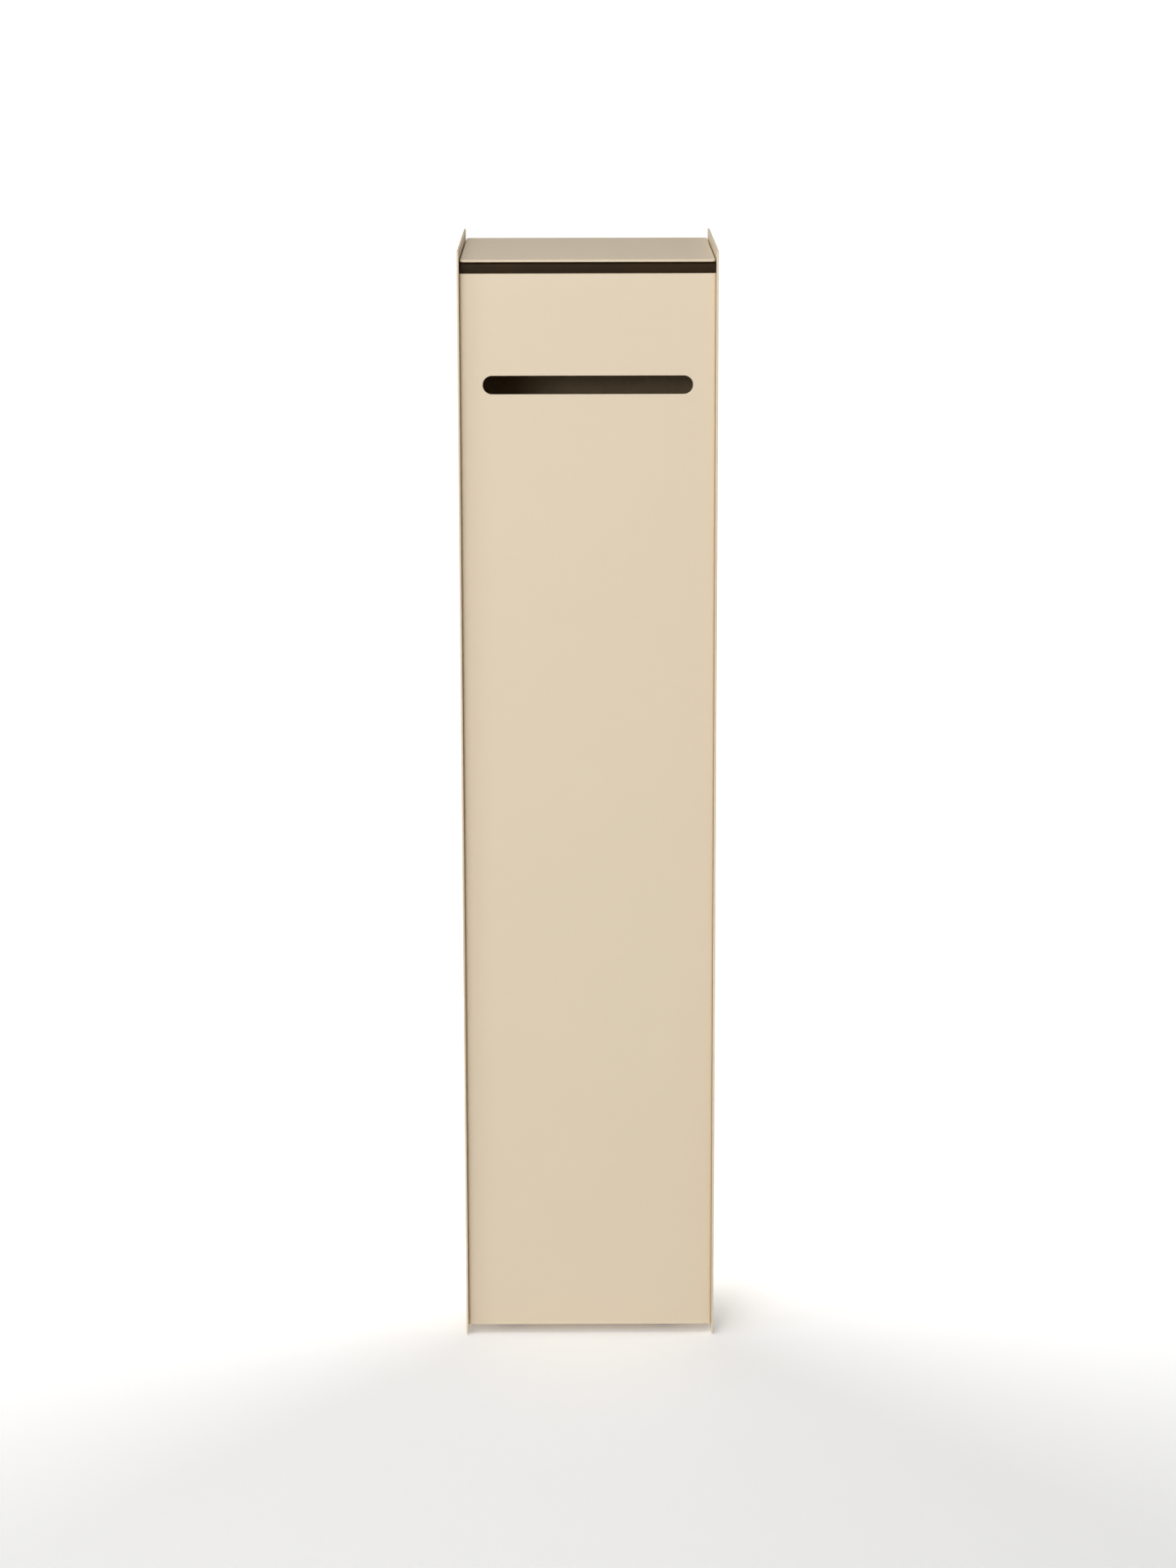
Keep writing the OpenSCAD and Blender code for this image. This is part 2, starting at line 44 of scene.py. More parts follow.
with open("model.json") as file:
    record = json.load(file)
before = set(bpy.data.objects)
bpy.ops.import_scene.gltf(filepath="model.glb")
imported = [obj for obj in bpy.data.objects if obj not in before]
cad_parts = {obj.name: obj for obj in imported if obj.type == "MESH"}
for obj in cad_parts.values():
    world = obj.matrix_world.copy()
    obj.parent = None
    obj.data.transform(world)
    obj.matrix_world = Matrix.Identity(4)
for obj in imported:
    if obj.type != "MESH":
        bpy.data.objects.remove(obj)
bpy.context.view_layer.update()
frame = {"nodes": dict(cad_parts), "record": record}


# Sizes and colours that a user would change


class BinSizes(bpy.types.PropertyGroup):
    """Sizes of the sheet work that the frame's boxes don't give."""

    sheet: bpy.props.FloatProperty(
        name="Sheet", description="Thickness of the folded panels", default=0.0015, unit="LENGTH"
    )
    fold_radius: bpy.props.FloatProperty(
        name="Fold radius", description="Outside radius of the panels' folds", default=0.0022, unit="LENGTH"
    )
    hem_radius: bpy.props.FloatProperty(
        name="Hem radius", description="Outside radius of the hem", default=0.0016, unit="LENGTH"
    )
    hem_height: bpy.props.FloatProperty(
        name="Hem height", description="Height of the hem's inner leg", default=0.013, unit="LENGTH"
    )
    slot_width: bpy.props.FloatProperty(
        name="Slot width", description="Length of the stub slot over its ends", default=0.162, unit="LENGTH"
    )
    slot_height: bpy.props.FloatProperty(
        name="Slot height", description="Height of the stub slot", default=0.0144, unit="LENGTH"
    )
    plate_corner: bpy.props.FloatProperty(
        name="Plate corner", description="Corner radius of the side panels", default=0.003, unit="LENGTH"
    )
    lid_corner: bpy.props.FloatProperty(
        name="Lid corner", description="Corner radius of the lid", default=0.003, unit="LENGTH"
    )
    coated_edge: bpy.props.FloatProperty(
        name="Coated edge",
        description="Rounding that the coat gives a cut edge",
        default=0.0005, unit="LENGTH",
    )
    can_sheet: bpy.props.FloatProperty(
        name="Container sheet",
        description="Thickness of the container's sheet",
        default=0.0012, unit="LENGTH",
    )
    can_corner: bpy.props.FloatProperty(
        name="Container corner", description="Radius of the container's corners", default=0.004, unit="LENGTH"
    )
    inlet_width: bpy.props.FloatProperty(
        name="Inlet width", description="Width of the container's opening", default=0.172, unit="LENGTH"
    )
    inlet_height: bpy.props.FloatProperty(
        name="Inlet height", description="Height of the container's opening", default=0.0294, unit="LENGTH"
    )
    inlet_corner: bpy.props.FloatProperty(
        name="Inlet corner",
        description="Corner radius of the container's opening",
        default=0.006, unit="LENGTH",
    )
    relief: bpy.props.FloatProperty(
        name="Flange relief",
        description="How much lower the side flanges stop than the web",
        default=0.0024, unit="LENGTH",
    )
    trim_wall: bpy.props.FloatProperty(
        name="Trim wall", description="Wall of the rubber edge trim", default=0.002, unit="LENGTH"
    )


class BinFinishes(bpy.types.PropertyGroup):
    """Colours of the finishes, scene linear."""

    coat: bpy.props.FloatVectorProperty(
        name="Powder coat",
        description="Beige coat outside",
        subtype="COLOR", size=3, default=(0.72, 0.614, 0.464),
    )
    # Darker and browner than the outer coat: painted shade for the deep inside of the bin.
    inner_coat: bpy.props.FloatVectorProperty(
        name="Inner coat",
        description="Beige coat inside",
        subtype="COLOR", size=3, default=(0.66, 0.505, 0.32),
    )
    rubber: bpy.props.FloatVectorProperty(
        name="Rubber",
        description="Edge trim and feet",
        subtype="COLOR", size=3, default=(0.027, 0.015, 0.0045),
    )
    nylon: bpy.props.FloatVectorProperty(
        name="Nylon",
        description="Grip, bushes and guides",
        subtype="COLOR", size=3, default=(0.020, 0.019, 0.018),
    )
    zinc: bpy.props.FloatVectorProperty(
        name="Zinc plate",
        description="Fasteners",
        subtype="COLOR", size=3, default=(0.60, 0.61, 0.62),
    )
    stainless: bpy.props.FloatVectorProperty(
        name="Stainless",
        description="Hinge and handle",
        subtype="COLOR", size=3, default=(0.40, 0.395, 0.38),
    )
    ballast: bpy.props.FloatVectorProperty(
        name="Ballast",
        description="Primed ballast plate",
        subtype="COLOR", size=3, default=(0.085, 0.086, 0.09),
    )


class BinStage(bpy.types.PropertyGroup):
    """Studio floor, light and camera."""

    floor_tone: bpy.props.FloatVectorProperty(
        name="Floor",
        description="Colour of the pale floor",
        subtype="COLOR", size=3, default=(0.95, 0.95, 0.95),
    )
    near_glow: bpy.props.FloatProperty(
        name="Near glow",
        description="Light that the floor itself gives in front of the bin",
        default=0.14, min=0.0,
    )
    far_glow: bpy.props.FloatProperty(
        name="Far glow",
        description="Light that the sweep itself gives behind the bin",
        default=0.78, min=0.0,
    )
    sky: bpy.props.FloatProperty(
        name="Sky", description="Strength of the even light all round", default=0.07, min=0.0
    )
    key_power: bpy.props.FloatProperty(
        name="Key", description="Power of the large front light", default=42.0, subtype="POWER"
    )
    side_power: bpy.props.FloatProperty(
        name="Side", description="Power of the narrow side light", default=10.0, subtype="POWER"
    )
    front_power: bpy.props.FloatProperty(
        name="Front", description="Power of the low front light", default=47.0, subtype="POWER"
    )
    top_power: bpy.props.FloatProperty(
        name="Top", description="Power of the light overhead", default=24.0, subtype="POWER"
    )
    lens: bpy.props.FloatProperty(
        name="Lens", description="Focal length on a 36 mm sensor, in mm", default=89.14
    )
    eye: bpy.props.FloatVectorProperty(
        name="Eye",
        description="Camera place",
        subtype="TRANSLATION", size=3, default=(-0.0098, -3.0808, 1.1319),
    )
    tilt: bpy.props.FloatProperty(
        name="Tilt", description="Downward tilt", default=math.radians(12.754), subtype="ANGLE"
    )
    turn: bpy.props.FloatProperty(
        name="Turn", description="Turn to the right", default=math.radians(0.177), subtype="ANGLE"
    )
    roll: bpy.props.FloatProperty(
        name="Roll", description="Roll about the line of sight", default=math.radians(-0.126), subtype="ANGLE"
    )


# Grids and meshes


def grid_quads(rows, cols, closed=False):
    """Four-sided faces of a grid of points, row by row; closed joins the last column to the first."""
    i = np.arange(rows - 1)
    j = np.arange(cols if closed else cols - 1)
    a, b = np.meshgrid(i, j, indexing="ij")
    d = (b + 1) % cols
    return np.stack([a * cols + b, a * cols + d, (a + 1) * cols + d, (a + 1) * cols + b], -1).reshape(-1, 4)


def join_parts(parts):
    """Stacks (points, faces) pairs into one list of points and one list of faces."""
    points, faces, start = [], [], 0
    for part_points, part_faces in parts:
        points.append(np.asarray(part_points, float).reshape(-1, 3))
        faces += [[int(v) + start for v in face] for face in part_faces]
        start += len(points[-1])
    return np.concatenate(points), faces


def make_piece(name, parts, material, body, replaced, sharp=35.0):
    """One mesh object from its parts: doubles merged, smooth except at sharp edges, riding on its body."""
    points, faces = join_parts(parts)
    mesh = bpy.data.meshes.new(name)
    mesh.from_pydata(points.tolist(), [], faces)
    work = bmesh.new()
    work.from_mesh(mesh)
    bmesh.ops.remove_doubles(work, verts=work.verts, dist=1e-6)
    work.to_mesh(mesh)
    work.free()
    mesh.polygons.foreach_set("use_smooth", [True] * len(mesh.polygons))
    mesh.set_sharp_from_angle(angle=math.radians(sharp))
    mesh.materials.append(material)
    mesh.validate()
    piece = bpy.data.objects.new(name, mesh)
    bpy.context.scene.collection.objects.link(piece)
    if replaced:
        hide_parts(*replaced)
    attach(piece, body)
    return piece


def thicken(piece, thickness, edge):
    """Gives a sheet surface its thickness, inwards, and rounds its cut edges as the coat does."""
    folds_below = 50
    solid = piece.modifiers.new("Sheet", "SOLIDIFY")
    solid.thickness = thickness
    solid.offset = -1.0
    solid.use_even_offset = True
    bevel = piece.modifiers.new("Coated edge", "BEVEL")
    bevel.width = edge
    bevel.segments = 2
    bevel.limit_method = "ANGLE"
    bevel.angle_limit = math.radians(folds_below)
    bevel.harden_normals = True


def spread(*stops):
    """Joins evenly spaced runs: each stop is (value, steps to the next), and the last is a value alone."""
    starts = [value for value, _ in stops[:-1]]
    ends = [*starts[1:], stops[-1]]
    runs = [
        np.linspace(start, end, steps, endpoint=False)
        for start, end, (_, steps) in zip(starts, ends, stops)
    ]
    return np.concatenate(runs + [[stops[-1]]])


def arc(cx, cy, radius, start, end, steps):
    """Points on a circle from one angle to another, in degrees."""
    angle = np.radians(np.linspace(start, end, steps + 1))
    return np.stack([cx + radius * np.cos(angle), cy + radius * np.sin(angle)], -1)


def rounded_loop(half_a, half_b, radius, inset, steps):
    """A rectangle with round corners, inset all round: each corner is a quarter circle about a fixed
    centre."""
    quarter = np.linspace(0, np.pi / 2, steps)
    angle = (np.arange(4)[:, None] * np.pi / 2 + quarter[None, :]).ravel()
    side_a = np.repeat([1, -1, -1, 1], steps)
    side_b = np.repeat([1, 1, -1, -1], steps)
    return np.stack(
        [
            side_a * (half_a - radius) + (radius - inset) * np.cos(angle),
            side_b * (half_b - radius) + (radius - inset) * np.sin(angle),
        ],
        -1,
    )


def rounded_plate(half_a, half_b, corner, thickness, edge):
    """A flat plate with round corners and rounded edges, as a grid: one way goes round the outline, the
    other way goes over the edge, where inset = edge (1 - sin t) and height = edge (1 - cos t); both faces
    are closed."""
    edge_points, corner_points, border = 5, 9, 1.6
    t = np.linspace(0, np.pi / 2, edge_points)
    inset = np.concatenate([[edge * border], edge * (1 - np.sin(t))])
    height = np.concatenate([[0.0], edge * (1 - np.cos(t))])
    inset = np.concatenate([inset, inset[::-1]])
    height = np.concatenate([height, thickness - height[::-1]])
    loops = [rounded_loop(half_a, half_b, corner, i, corner_points) for i in inset]
    points = np.stack([np.column_stack([loop, np.full(len(loop), h)]) for loop, h in zip(loops, height)])
    rows, cols = points.shape[:2]
    faces = grid_quads(rows, cols, closed=True).tolist()
    faces.append(list(range(cols))[::-1])
    faces.append([(rows - 1) * cols + k for k in range(cols)])
    return points.reshape(-1, 3), faces


def window_loop(width, height, radius, across, up):
    """A window's outline from its lower left: across steps along each level run, and up steps round each
    end, evenly spaced over its two quarter circles and the straight run between them."""
    level = np.linspace(-(width / 2 - radius), width / 2 - radius, across + 1)
    rise = height - 2 * radius
    total = np.pi * radius + rise
    along = np.linspace(0, total, up + 1)
    low = np.clip(along, 0, np.pi * radius / 2) / radius
    middle = np.clip(along - np.pi * radius / 2, 0, rise)
    high = np.clip(along - np.pi * radius / 2 - rise, 0, np.pi * radius / 2) / radius
    bulge = np.sin(low) + np.cos(high) - 1
    end_x = width / 2 - radius + radius * bulge
    end_z = -height / 2 + radius * (1 - np.cos(low)) + middle + radius * np.sin(high)
    bottom = np.column_stack([level, np.full(across + 1, -height / 2)])
    right = np.column_stack([end_x, end_z])
    loop = [bottom[:-1], right[:-1], -bottom[:-1], -right[:-1]]
    return np.concatenate(loop)


def cut_window(points, faces_closed, row0, row1, col0, col1, outline):
    """Takes a block of cells out of a grid of points, and fills the space between the block's border and
    the window's outline with a ring: a straight blend from border to outline, finer towards the outline."""
    rows, cols = points.shape[:2]
    faces = grid_quads(rows, cols, faces_closed)
    r, c = faces[:, 0] // cols, faces[:, 0] % cols
    keep = ~((r >= row0) & (r < row1) & (c >= col0) & (c < col1))
    border = np.concatenate(
        [
            points[row0, col0:col1],
            points[row0:row1, col1],
            points[row1, col1:col0:-1],
            points[row1:row0:-1, col0],
        ]
    )
    share = np.array([0, 0.4, 0.75, 0.93, 1.0])[:, None, None]
    ring = border[None] * (1 - share) + outline[None] * share
    ring_faces = grid_quads(ring.shape[0], ring.shape[1], closed=True)
    return [(points, faces[keep].tolist()), (ring, ring_faces.tolist())]


# Finishes


class NodeDesk:
    """Adds shader nodes to one material and links them."""

    def __init__(self, name):
        self.material = bpy.data.materials.new(name)
        self.material.use_nodes = True
        self.tree = self.material.node_tree
        self.tree.nodes.clear()
        self.out = self.tree.nodes.new("ShaderNodeOutputMaterial")
        self.shader = self.tree.nodes.new("ShaderNodeBsdfPrincipled")
        self.tree.links.new(self.shader.outputs[0], self.out.inputs[0])
        self.place = self.tree.nodes.new("ShaderNodeTexCoord").outputs["Object"]

    def link(self, source, target):
        self.tree.links.new(source, target)

    def stretched(self, scale):
        """Object coordinates scaled apart along the three axes."""
        node = self.tree.nodes.new("ShaderNodeMapping")
        node.inputs["Scale"].default_value = scale
        self.link(self.place, node.inputs["Vector"])
        return node.outputs[0]

    def noise(self, scale, detail=2.0, roughness=0.5, vector=None):
        node = self.tree.nodes.new("ShaderNodeTexNoise")
        node.inputs["Scale"].default_value = scale
        node.inputs["Detail"].default_value = detail
        node.inputs["Roughness"].default_value = roughness
        self.link(vector or self.place, node.inputs["Vector"])
        return node.outputs["Fac"]

    def cells(self, scale):
        node = self.tree.nodes.new("ShaderNodeTexVoronoi")
        node.inputs["Scale"].default_value = scale
        self.link(self.place, node.inputs["Vector"])
        return node.outputs["Distance"]

    def remap(self, value, low, high, new_low, new_high):
        node = self.tree.nodes.new("ShaderNodeMapRange")
        sockets = ("From Min", "From Max", "To Min", "To Max")
        for socket, number in zip(sockets, (low, high, new_low, new_high)):
            node.inputs[socket].default_value = number
        self.link(value, node.inputs["Value"])
        return node.outputs["Result"]

    def blend(self, share, first, second):
        """A colour between two, by a share that a pattern gives."""
        node = self.tree.nodes.new("ShaderNodeMix")
        node.data_type = "RGBA"
        self.link(share, node.inputs["Factor"])
        for socket, colour in ((node.inputs[6], first), (node.inputs[7], second)):
            if isinstance(colour, bpy.types.NodeSocket):
                self.link(colour, socket)
            else:
                socket.default_value = (*colour, 1.0)
        return node.outputs[2]

    def bump(self, height, distance, strength, under=None):
        node = self.tree.nodes.new("ShaderNodeBump")
        node.inputs["Distance"].default_value = distance
        node.inputs["Strength"].default_value = strength
        self.link(height, node.inputs["Height"])
        if under is not None:
            self.link(under, node.inputs["Normal"])
        return node.outputs["Normal"]

    def finish(self, colour, roughness, normal, **numbers):
        for value, name in ((colour, "Base Color"), (roughness, "Roughness"), (normal, "Normal")):
            self.link(value, self.shader.inputs[name])
        for name, number in numbers.items():
            self.shader.inputs[name.replace("_", " ")].default_value = number
        return self.material


def shade(colour, factor):
    """A colour made lighter or darker."""
    return tuple(min(1.0, c * factor) for c in colour)


def powder_coat(name, colour, roughness=0.56, clouding=0.012):
    """Fine matt powder coat: soft clouding, a fine-grained texture over a shallow orange peel, and faint
    specks."""
    desk = NodeDesk(name)
    cloud = desk.noise(7.0, detail=3.0, roughness=0.55)
    tone = desk.blend(cloud, shade(colour, 1 - clouding), shade(colour, 1 + clouding))
    speck = desk.remap(desk.cells(620.0), 0.03, 0.11, 0.35, 0.0)
    tone = desk.blend(speck, tone, shade(colour, 0.93))
    grain = desk.noise(2300.0, detail=2.0, roughness=0.6)
    peel = desk.noise(420.0, detail=1.0)
    sheen = desk.remap(desk.noise(90.0, detail=4.0), 0.3, 0.7, roughness - 0.05, roughness + 0.06)
    relief = desk.bump(peel, 0.00006, 0.30)
    relief = desk.bump(grain, 0.00002, 0.35, relief)
    return desk.finish(tone, sheen, relief, Specular_IOR_Level=0.06)


def painted_shade_coat(name, colour):
    """The inside coat: the same powder in a darker, browner tone that paints the deep shade inside the bin.
    It has brown clouds that are partly ash dust and partly painted shade, and fine scuffs down the walls.
    """
    desk = NodeDesk(name)
    # Brown clouds: partly settled ash dust, partly painted shade that darkens and browns the inside.
    dust_and_shade = desk.remap(desk.noise(55.0, detail=6.0, roughness=0.6), 0.40, 0.75, 0.0, 0.16)
    tone = desk.blend(dust_and_shade, colour, (0.36, 0.25, 0.13))
    scuff = desk.remap(
        desk.noise(60.0, detail=3.0, vector=desk.stretched((9.0, 9.0, 0.5))), 0.62, 0.75, 0.0, 0.14
    )
    tone = desk.blend(scuff, tone, shade(colour, 1.12))
    grain = desk.noise(1900.0, detail=2.0, roughness=0.6)
    peel = desk.noise(380.0, detail=1.0)
    matt = desk.remap(dust_and_shade, 0.0, 0.16, 0.52, 0.68)
    relief = desk.bump(peel, 0.00006, 0.30)
    relief = desk.bump(grain, 0.00002, 0.35, relief)
    return desk.finish(tone, matt, relief, Specular_IOR_Level=0.05)


def moulded_rubber(name, colour):
    """Extruded black rubber: a faint bloom, a satin skin and fine pits."""
    desk = NodeDesk(name)
    bloom = desk.remap(desk.noise(45.0, detail=5.0, roughness=0.6), 0.35, 0.75, 0.0, 0.6)
    tone = desk.blend(bloom, colour, shade(colour, 1.6))
    skin = desk.remap(desk.noise(160.0, detail=3.0), 0.3, 0.7, 0.28, 0.40)
    pits = desk.bump(desk.noise(2600.0, detail=3.0), 0.00003, 0.35)
    return desk.finish(tone, skin, pits, Specular_IOR_Level=0.12)


def grained_nylon(name, colour):
    """Moulded nylon with a fine spark-eroded grain."""
    desk = NodeDesk(name)
    tone = desk.blend(desk.noise(70.0, detail=3.0), shade(colour, 0.8), shade(colour, 1.5))
    skin = desk.remap(desk.noise(300.0, detail=2.0), 0.3, 0.7, 0.45, 0.62)
    grain = desk.bump(desk.cells(1500.0), 0.00004, 0.45)
    return desk.finish(tone, skin, grain)


def zinc_plate(name, colour):
    """Bright zinc plate: soft blotches of tone and gloss with fine tool marks."""
    desk = NodeDesk(name)
    tone = desk.blend(desk.noise(130.0, detail=4.0), shade(colour, 0.78), shade(colour, 1.08))
    gloss = desk.remap(desk.noise(240.0, detail=4.0), 0.3, 0.7, 0.26, 0.46)
    marks = desk.bump(desk.noise(1800.0, detail=3.0), 0.00002, 0.35)
    return desk.finish(tone, gloss, marks, Metallic=1.0)


def brushed_stainless(name, colour):
    """Stainless steel with long fine brush lines along the bin's width."""
    desk = NodeDesk(name)
    lines = desk.noise(40.0, detail=4.0, roughness=0.7, vector=desk.stretched((1.0, 70.0, 70.0)))
    tone = desk.blend(lines, shade(colour, 0.86), shade(colour, 1.1))
    gloss = desk.remap(lines, 0.3, 0.7, 0.32, 0.50)
    return desk.finish(tone, gloss, desk.bump(lines, 0.00003, 0.35), Metallic=1.0)


def primed_plate(name, colour):
    """Hot rolled plate under thin grey primer: mottled tone, patchy gloss and a coarse mill scale."""
    desk = NodeDesk(name)
    tone = desk.blend(desk.noise(36.0, detail=6.0, roughness=0.65), shade(colour, 0.65), shade(colour, 1.35))
    gloss = desk.remap(desk.noise(80.0, detail=5.0), 0.3, 0.7, 0.5, 0.75)
    scale = desk.bump(desk.noise(520.0, detail=4.0, roughness=0.65), 0.0001, 0.5)
    return desk.finish(tone, gloss, scale)


def finishes():
    """One material for each slot of the record, made once."""
    tones = bpy.context.scene.bin_finishes
    makers = {
        "beige_powder_coat": (powder_coat, tones.coat),
        # The inside coat's darker, browner tone and brown clouds are painted shade.
        "beige_inner_coat": (painted_shade_coat, tones.inner_coat),
        "black_rubber": (moulded_rubber, tones.rubber),
        "black_nylon": (grained_nylon, tones.nylon),
        "zinc_plated_steel": (zinc_plate, tones.zinc),
        "stainless_hinge": (brushed_stainless, tones.stainless),
        "ballast_steel": (primed_plate, tones.ballast),
    }
    return {
        slot: bpy.data.materials.get(slot + "_finish") or maker(slot + "_finish", tuple(colour))
        for slot, (maker, colour) in makers.items()
    }


def opening_centre(name):
    """Middle of a stated opening of the frame."""
    box = next(o["box_m"] for o in frame["record"]["physics"]["openings"] if o["name"] == name)
    return (Vector(box[0]) + Vector(box[1])) / 2


# Pieces


class BIN_OT_side_panels(bpy.types.Operator):
    """Make the two flat side panels with rounded, coated edges"""

    bl_idname = "ashbin.side_panels"
    bl_label = "Side Panels"

    def execute(self, context):
        sizes = context.scene.bin_sizes
        coat = finishes()["beige_powder_coat"]
        for node in ("side_panel_left", "side_panel_right"):
            low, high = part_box(node)
            middle, half = (low + high) / 2, (high - low) / 2
            sheet, edge = high.x - low.x, sizes.coated_edge
            points, faces = rounded_plate(half.y, half.z, sizes.plate_corner, sheet, edge)
            placed = points[:, [2, 0, 1]] + (low.x, middle.y, middle.z)
            make_piece(node + "_sheet", [(placed, faces)], coat, "body", [node])
        return {"FINISHED"}


class BIN_OT_folded_panels(bpy.types.Operator):
    """Fold the front and back panels: side flanges, a hemmed upper edge and the stub slot"""

    bl_idname = "ashbin.folded_panels"
    bl_label = "Folded Panels"

    slot_block_rise: bpy.props.FloatProperty(
        name="Slot block",
        description="Height of the block of cells round the slot",
        default=0.05,
        unit="LENGTH",
    )
    block_margin: bpy.props.FloatProperty(
        name="Block margin",
        description="Space between the slot's ends and the ends of its block",
        default=0.006,
        unit="LENGTH",
    )
    relief_slope: bpy.props.FloatProperty(
        name="Relief slope",
        description="Depth of the slope between the fold and the lowered flange",
        default=0.0005,
        unit="LENGTH",
    )

    # Points across a flange, and steps of the web beside, across, under, up and over the slot's block
    flange_points, beside, across, under, up, over = 3, 2, 20, 10, 16, 3
    bend_steps, hem_steps, leg_points = 6, 12, 5
    edge_share = 0.6

    def profile(self, half, front, back, radius, block):
        """The fold seen from above, from one flange end round the web to the other; block is the slot
        block's half width. Returns the points and the columns where the block and the web start."""
        slope_y = front + radius + self.relief_slope
        flange_y = np.append(np.linspace(back, slope_y, self.flange_points), front + radius)
        flange = np.column_stack([np.full(len(flange_y), -half), flange_y])
        bend = arc(-half + radius, front + radius, radius, 180, 270, self.bend_steps)
        left = np.concatenate([flange[:-1], bend])
        web_edge = half - radius
        web_x = spread((-web_edge, self.beside), (-block, self.across), (block, self.beside), web_edge)
        web = np.column_stack([web_x, np.full(len(web_x), front)])
        right = left[::-1] * (-1, 1)
        web_start = len(left) - 1
        return np.concatenate([left[:-1], web, right[1:]]), web_start + self.beside, web_start

    def panel_parts(self, sizes, low, high, slot_z, slotted):
        """Sheet surface (s, t): s follows the fold and t climbs the panel; the hem goes on over its half
        round."""
        half = high.x
        block = sizes.slot_width / 2 + self.block_margin
        outline, col0, web_start = self.profile(half, low.y, high.y, sizes.fold_radius, block)
        hem_z = high.z - sizes.hem_radius
        rise = self.slot_block_rise / 2
        heights = spread((low.z, self.under), (slot_z - rise, self.up), (slot_z + rise, self.over), hem_z)
        cols = len(outline)
        points = np.empty((len(heights), cols, 3))
        points[..., :2] = outline
        points[..., 2] = heights[:, None]
        lowered = np.arange(self.flange_points)
        points[-1, np.concatenate([lowered, -1 - lowered]), 2] = high.z - sizes.relief
        if slotted:
            end = sizes.slot_height / 2
            window = window_loop(sizes.slot_width, sizes.slot_height, end, self.across, self.up)
            loop = np.column_stack([window[:, 0], np.full(len(window), low.y), slot_z + window[:, 1]])
            top, last = self.under + self.up, col0 + self.across
            parts = cut_window(points, False, self.under, top, col0, last, loop)
        else:
            parts = [(points, grid_quads(len(heights), cols).tolist())]
        bend = arc(low.y + sizes.hem_radius, hem_z, sizes.hem_radius, 180, 0, self.hem_steps)
        leg_z = np.linspace(hem_z, hem_z - sizes.hem_height, self.leg_points)
        leg = np.column_stack([np.full(self.leg_points, low.y + 2 * sizes.hem_radius), leg_z])
        path = np.concatenate([bend, leg[1:]])
        web_end = cols - web_start
        web_x = outline[web_start:web_end, 0]
        hem = np.empty((len(path), len(web_x), 3))
        hem[..., 0] = web_x
        hem[..., 1:] = path[:, None]
        parts.append((hem, grid_quads(*hem.shape[:2]).tolist()))
        inner = self.flange_points
        for side in (outline[inner : web_start + 1], outline[web_end - 1 : -inner]):
            strip = np.empty((3, len(side), 3))
            strip[..., :2] = side
            strip[..., 2] = np.linspace(hem_z, high.z, 3)[:, None]
            parts.append((strip, grid_quads(*strip.shape[:2]).tolist()))
        return parts

    def execute(self, context):
        sizes = context.scene.bin_sizes
        coat = finishes()["beige_powder_coat"]
        slot_z = opening_centre("stub_slot").z
        low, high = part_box("front_panel")
        parts = self.panel_parts(sizes, low, high, slot_z, True)
        front = make_piece("front_panel_sheet", parts, coat, "body", ["front_panel"])
        plain = self.panel_parts(sizes, low, high, slot_z, False)
        parts = [(points.reshape(-1, 3) * (-1, -1, 1), faces) for points, faces in plain]
        back = make_piece("back_panel_sheet", parts, coat, "body", ["back_panel"])
        for piece in (front, back):
            thicken(piece, sizes.sheet, sizes.coated_edge * self.edge_share)
        return {"FINISHED"}


class BIN_OT_lid_plate(bpy.types.Operator):
    """Make the lid: a flat plate with small corner radii and soft edges"""

    bl_idname = "ashbin.lid_plate"
    bl_label = "Lid Plate"

    edge_share = 1.8

    def execute(self, context):
        sizes = context.scene.bin_sizes
        low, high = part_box("lid")
        middle, half = (low + high) / 2, (high - low) / 2
        edge = sizes.coated_edge * self.edge_share
        points, faces = rounded_plate(half.x, half.y, sizes.lid_corner, high.z - low.z, edge)
        placed = points + (middle.x, middle.y, low.z)
        coat = finishes()["beige_powder_coat"]
        make_piece("lid_plate", [(placed, faces)], coat, "lid", ["lid"])
        return {"FINISHED"}


